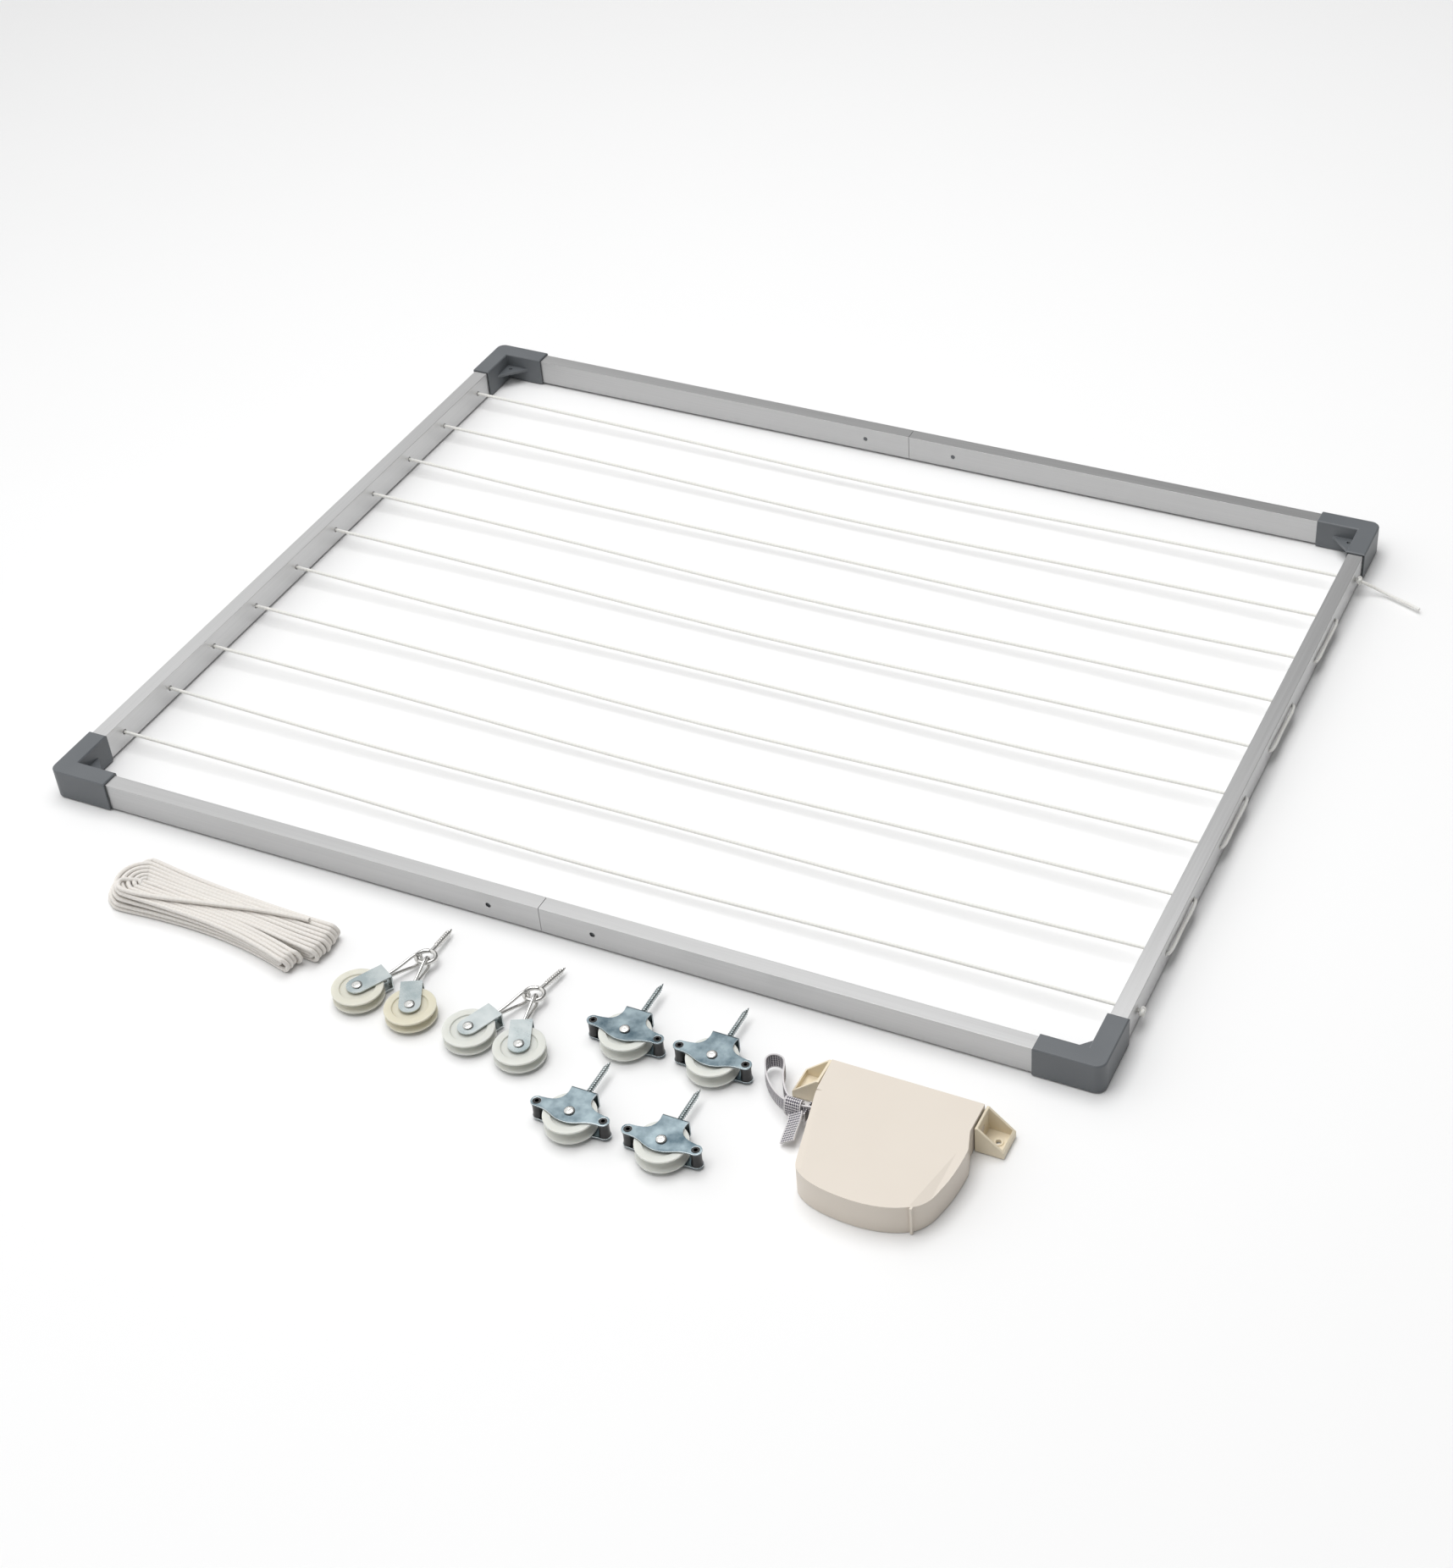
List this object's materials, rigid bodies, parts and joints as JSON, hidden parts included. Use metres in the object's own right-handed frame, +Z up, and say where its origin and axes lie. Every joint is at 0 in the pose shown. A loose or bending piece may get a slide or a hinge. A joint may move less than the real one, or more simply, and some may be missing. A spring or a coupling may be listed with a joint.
{
  "type": "ceiling drying rack kit",
  "caption": "Aluminium frame laced with clothesline, with its hoist rope, ceiling pulleys, double pulleys on screw eyes and a swinging strap winder, laid out flat.",
  "frame": {"origin": "on the floor, under the middle of the box round the rack, pulleys and winder (without the loose rope and strap)", "axes": "+X along the front rail towards the knotted side rail, +Y from the loose fittings towards the back rail, +Z up off the floor"},
  "size_m": [1.0714, 1.0086, 0.03],
  "materials": {
    "rail_aluminium": "satin drawn",
    "corner_plastic": "fine moulded",
    "line_cord": "twisted, slightly translucent",
    "hoist_rope": "braided",
    "zinc_plate": "blue zinc",
    "bright_steel": "bright zinc",
    "nylon": "moulded nylon",
    "black_plastic": "moulded",
    "cream_plastic": "fine moulded",
    "strap_webbing": "woven, two-tone",
    "spring_steel": "blued"
  },
  "bodies": {
    "frame": {"corner_front_left": "corner_plastic", "corner_front_right": "corner_plastic", "corner_back_left": "corner_plastic", "corner_back_right": "corner_plastic", "side_tube_left": "rail_aluminium", "side_tube_right": "rail_aluminium", "front_tube_left_half": "rail_aluminium", "front_tube_right_half": "rail_aluminium", "back_tube_left_half": "rail_aluminium", "back_tube_right_half": "rail_aluminium", "front_splice_insert": "corner_plastic", "back_splice_insert": "corner_plastic", "clothesline": "line_cord"},
    "rope_hank": {"hoist_rope_hank": "hoist_rope"},
    "ceiling_pulley_1": {"ceiling_pulley_1_bracket": "zinc_plate", "ceiling_pulley_1_axle_rivet": "bright_steel", "ceiling_pulley_1_lag_screw": "zinc_plate"},
    "ceiling_pulley_1_wheel": {"ceiling_pulley_1_sheave": "nylon"},
    "ceiling_pulley_1_guide_left": {"ceiling_pulley_1_roller_left": "black_plastic"},
    "ceiling_pulley_1_guide_right": {"ceiling_pulley_1_roller_right": "black_plastic"},
    "ceiling_pulley_2": {"ceiling_pulley_2_bracket": "zinc_plate", "ceiling_pulley_2_axle_rivet": "bright_steel", "ceiling_pulley_2_lag_screw": "zinc_plate"},
    "ceiling_pulley_2_wheel": {"ceiling_pulley_2_sheave": "nylon"},
    "ceiling_pulley_2_guide_left": {"ceiling_pulley_2_roller_left": "black_plastic"},
    "ceiling_pulley_2_guide_right": {"ceiling_pulley_2_roller_right": "black_plastic"},
    "ceiling_pulley_3": {"ceiling_pulley_3_bracket": "zinc_plate", "ceiling_pulley_3_axle_rivet": "bright_steel", "ceiling_pulley_3_lag_screw": "zinc_plate"},
    "ceiling_pulley_3_wheel": {"ceiling_pulley_3_sheave": "nylon"},
    "ceiling_pulley_3_guide_left": {"ceiling_pulley_3_roller_left": "black_plastic"},
    "ceiling_pulley_3_guide_right": {"ceiling_pulley_3_roller_right": "black_plastic"},
    "ceiling_pulley_4": {"ceiling_pulley_4_bracket": "zinc_plate", "ceiling_pulley_4_axle_rivet": "bright_steel", "ceiling_pulley_4_lag_screw": "zinc_plate"},
    "ceiling_pulley_4_wheel": {"ceiling_pulley_4_sheave": "nylon"},
    "ceiling_pulley_4_guide_left": {"ceiling_pulley_4_roller_left": "black_plastic"},
    "ceiling_pulley_4_guide_right": {"ceiling_pulley_4_roller_right": "black_plastic"},
    "hanger_1": {"hanger_1_screw_eye": "bright_steel"},
    "hanger_1_left_pin": {"hanger_1_left_split_pin": "bright_steel"},
    "hanger_1_left_pulley": {"hanger_1_left_strap": "zinc_plate"},
    "hanger_1_left_wheel": {"hanger_1_left_sheave": "nylon"},
    "hanger_1_right_pin": {"hanger_1_right_split_pin": "bright_steel"},
    "hanger_1_right_pulley": {"hanger_1_right_strap": "zinc_plate"},
    "hanger_1_right_wheel": {"hanger_1_right_sheave": "nylon"},
    "hanger_2": {"hanger_2_screw_eye": "bright_steel"},
    "hanger_2_left_pin": {"hanger_2_left_split_pin": "bright_steel"},
    "hanger_2_left_pulley": {"hanger_2_left_strap": "zinc_plate"},
    "hanger_2_left_wheel": {"hanger_2_left_sheave": "nylon"},
    "hanger_2_right_pin": {"hanger_2_right_split_pin": "bright_steel"},
    "hanger_2_right_pulley": {"hanger_2_right_strap": "zinc_plate"},
    "hanger_2_right_wheel": {"hanger_2_right_sheave": "nylon"},
    "winder_base": {"winder_lug_left": "cream_plastic", "winder_lug_right": "cream_plastic"},
    "winder_body": {"winder_case": "cream_plastic", "winder_back_cover": "cream_plastic", "winder_spring": "spring_steel"},
    "winder_reel": {"winder_spool": "cream_plastic", "winder_strap_roll": "strap_webbing"},
    "strap_end": {"lift_strap_end": "strap_webbing"}
  },
  "joints": [
    {"name": "rope_hank_lift", "type": "slide", "parent": "frame", "child": "rope_hank", "axis": [0, 0, 1], "range_m": [0, 0.12]},
    {"name": "ceiling_pulley_1_lift", "type": "slide", "parent": "frame", "child": "ceiling_pulley_1", "axis": [0, 0, 1], "range_m": [0, 0.12]},
    {"name": "ceiling_pulley_1_sheave_spin", "type": "hinge", "parent": "ceiling_pulley_1", "child": "ceiling_pulley_1_wheel", "pos_m": [0.0977, -0.3885, 0.0101], "axis": [0, 0, 1], "continuous": true},
    {"name": "ceiling_pulley_1_roller_left_spin", "type": "hinge", "parent": "ceiling_pulley_1", "child": "ceiling_pulley_1_guide_left", "pos_m": [0.0686, -0.388, 0.0101], "axis": [0, 0, 1], "continuous": true},
    {"name": "ceiling_pulley_1_roller_right_spin", "type": "hinge", "parent": "ceiling_pulley_1", "child": "ceiling_pulley_1_guide_right", "pos_m": [0.1268, -0.388, 0.0101], "axis": [0, 0, 1], "continuous": true},
    {"name": "ceiling_pulley_2_lift", "type": "slide", "parent": "frame", "child": "ceiling_pulley_2", "axis": [0, 0, 1], "range_m": [0, 0.12]},
    {"name": "ceiling_pulley_2_sheave_spin", "type": "hinge", "parent": "ceiling_pulley_2", "child": "ceiling_pulley_2_wheel", "pos_m": [0.1751, -0.388, 0.0101], "axis": [0, 0, 1], "continuous": true},
    {"name": "ceiling_pulley_2_roller_left_spin", "type": "hinge", "parent": "ceiling_pulley_2", "child": "ceiling_pulley_2_guide_left", "pos_m": [0.146, -0.3875, 0.0101], "axis": [0, 0, 1], "continuous": true},
    {"name": "ceiling_pulley_2_roller_right_spin", "type": "hinge", "parent": "ceiling_pulley_2", "child": "ceiling_pulley_2_guide_right", "pos_m": [0.2042, -0.3875, 0.0101], "axis": [0, 0, 1], "continuous": true},
    {"name": "ceiling_pulley_3_lift", "type": "slide", "parent": "frame", "child": "ceiling_pulley_3", "axis": [0, 0, 1], "range_m": [0, 0.12]},
    {"name": "ceiling_pulley_3_sheave_spin", "type": "hinge", "parent": "ceiling_pulley_3", "child": "ceiling_pulley_3_wheel", "pos_m": [0.0997, -0.4828, 0.0101], "axis": [0, 0, 1], "continuous": true},
    {"name": "ceiling_pulley_3_roller_left_spin", "type": "hinge", "parent": "ceiling_pulley_3", "child": "ceiling_pulley_3_guide_left", "pos_m": [0.0706, -0.4823, 0.0101], "axis": [0, 0, 1], "continuous": true},
    {"name": "ceiling_pulley_3_roller_right_spin", "type": "hinge", "parent": "ceiling_pulley_3", "child": "ceiling_pulley_3_guide_right", "pos_m": [0.1288, -0.4823, 0.0101], "axis": [0, 0, 1], "continuous": true},
    {"name": "ceiling_pulley_4_lift", "type": "slide", "parent": "frame", "child": "ceiling_pulley_4", "axis": [0, 0, 1], "range_m": [0, 0.12]},
    {"name": "ceiling_pulley_4_sheave_spin", "type": "hinge", "parent": "ceiling_pulley_4", "child": "ceiling_pulley_4_wheel", "pos_m": [0.1794, -0.4828, 0.0101], "axis": [0, 0, 1], "continuous": true},
    {"name": "ceiling_pulley_4_roller_left_spin", "type": "hinge", "parent": "ceiling_pulley_4", "child": "ceiling_pulley_4_guide_left", "pos_m": [0.1503, -0.4823, 0.0101], "axis": [0, 0, 1], "continuous": true},
    {"name": "ceiling_pulley_4_roller_right_spin", "type": "hinge", "parent": "ceiling_pulley_4", "child": "ceiling_pulley_4_guide_right", "pos_m": [0.2085, -0.4823, 0.0101], "axis": [0, 0, 1], "continuous": true},
    {"name": "hanger_1_lift", "type": "slide", "parent": "frame", "child": "hanger_1", "axis": [0, 0, 1], "range_m": [0, 0.12]},
    {"name": "hanger_1_left_pin_swing", "type": "hinge", "parent": "hanger_1", "child": "hanger_1_left_pin", "pos_m": [-0.10756, -0.37186, 0.0084], "axis": [-0.9085, 0.4179, 0], "range_deg": [0, 45]},
    {"name": "hanger_1_left_pulley_swivel", "type": "hinge", "parent": "hanger_1_left_pin", "child": "hanger_1_left_pulley", "pos_m": [-0.11947, -0.39775, 0.0084], "axis": [-0.4802, -0.8771, 0], "continuous": true},
    {"name": "hanger_1_left_wheel_spin", "type": "hinge", "parent": "hanger_1_left_pulley", "child": "hanger_1_left_wheel", "pos_m": [-0.13267, -0.42187, 0.0084], "axis": [0, 0, 1], "continuous": true},
    {"name": "hanger_1_right_pin_swing", "type": "hinge", "parent": "hanger_1", "child": "hanger_1_right_pin", "pos_m": [-0.09731, -0.37275, 0.0084], "axis": [-0.9903, -0.1392, 0], "range_deg": [0, 45]},
    {"name": "hanger_1_right_pulley_swivel", "type": "hinge", "parent": "hanger_1_right_pin", "child": "hanger_1_right_pulley", "pos_m": [-0.09334, -0.40098, 0.0084], "axis": [0.4695, -0.8829, 0], "continuous": true},
    {"name": "hanger_1_right_wheel_spin", "type": "hinge", "parent": "hanger_1_right_pulley", "child": "hanger_1_right_wheel", "pos_m": [-0.08043, -0.42526, 0.0084], "axis": [0, 0, 1], "continuous": true},
    {"name": "hanger_2_lift", "type": "slide", "parent": "frame", "child": "hanger_2", "axis": [0, 0, 1], "range_m": [0, 0.12]},
    {"name": "hanger_2_left_pin_swing", "type": "hinge", "parent": "hanger_2", "child": "hanger_2_left_pin", "pos_m": [-0.00156, -0.37736, 0.0084], "axis": [-0.9184, 0.3955, 0], "range_deg": [0, 30]},
    {"name": "hanger_2_left_pulley_swivel", "type": "hinge", "parent": "hanger_2_left_pin", "child": "hanger_2_left_pulley", "pos_m": [-0.01283, -0.40353, 0.0084], "axis": [-0.3778, -0.9259, 0], "continuous": true},
    {"name": "hanger_2_left_wheel_spin", "type": "hinge", "parent": "hanger_2_left_pulley", "child": "hanger_2_left_wheel", "pos_m": [-0.02322, -0.42899, 0.0084], "axis": [0, 0, 1], "continuous": true},
    {"name": "hanger_2_right_pin_swing", "type": "hinge", "parent": "hanger_2", "child": "hanger_2_right_pin", "pos_m": [0.00869, -0.37825, 0.0084], "axis": [-0.9877, -0.1564, 0], "range_deg": [0, 30]},
    {"name": "hanger_2_right_pulley_swivel", "type": "hinge", "parent": "hanger_2_right_pin", "child": "hanger_2_right_pulley", "pos_m": [0.01315, -0.4064, 0.0084], "axis": [0.4226, -0.9063, 0], "continuous": true},
    {"name": "hanger_2_right_wheel_spin", "type": "hinge", "parent": "hanger_2_right_pulley", "child": "hanger_2_right_wheel", "pos_m": [0.02477, -0.43133, 0.0084], "axis": [0, 0, 1], "continuous": true},
    {"name": "winder_base_lift", "type": "slide", "parent": "frame", "child": "winder_base", "axis": [0, 0, 1], "range_m": [0, 0.12]},
    {"name": "winder_case_swing", "type": "hinge", "parent": "winder_base", "child": "winder_body", "pos_m": [0.3336, -0.3782, 0.0125], "axis": [-1, 0, 0], "range_deg": [0, 90]},
    {"name": "strap_pull", "type": "slide", "parent": "winder_body", "child": "strap_end", "axis": [-0.15, 0, 0.9887], "range_m": [0, 0.2]},
    {"name": "winder_reel_spin", "type": "hinge", "parent": "winder_body", "child": "winder_reel", "pos_m": [0.3406, -0.4317, 0.014], "axis": [0, 0, 1], "range_deg": [-290, 0]}
  ],
  "couplings": [
    {"joint": "winder_reel_spin", "follows": "strap_pull", "rad_per_m": -25}
  ]
}
